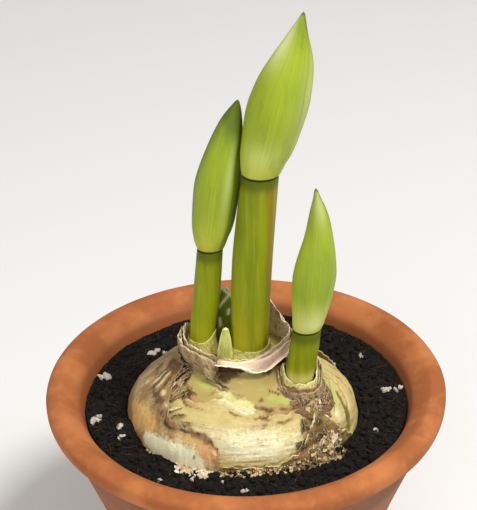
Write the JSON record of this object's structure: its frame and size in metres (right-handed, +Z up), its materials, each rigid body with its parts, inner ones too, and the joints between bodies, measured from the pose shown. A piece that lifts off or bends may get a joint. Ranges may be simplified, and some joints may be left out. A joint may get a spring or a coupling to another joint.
{
  "type": "potted amaryllis",
  "caption": "Amaryllis bulb with closed flower buds on upright stalks, planted half out of the soil in a round terracotta pot.",
  "frame": {"origin": "centre of the pot's base, on the surface it stands on", "axes": "+Z up along the pot's axis; -Y is the front, +X to the right"},
  "size_m": [0.16, 0.16, 0.2634],
  "materials": {
    "terracotta": "matt fired clay, slightly mottled",
    "soil": null,
    "bulb_flesh": null,
    "brown_tunic": "dry papery outer skin, streaked brown",
    "pale_tunic": "dry papery leaf base, pinkish white with brown torn edges",
    "stalk_green": null,
    "bud_green": null,
    "leaf_green": null
  },
  "bodies": {
    "root": {"terracotta_pot": "terracotta", "potting_soil": "soil", "bulb": "bulb_flesh", "outer_tunic": "brown_tunic", "neck_tunic": "pale_tunic", "side_tunic": "pale_tunic", "flower_stalk_tall": "stalk_green", "flower_bud_tall": "bud_green", "flower_stalk_left": "stalk_green", "flower_bud_left": "bud_green", "flower_stalk_right": "stalk_green", "flower_bud_right": "bud_green", "young_leaf_dark": "leaf_green", "young_leaf_pale": "leaf_green"}
  },
  "joints": []
}
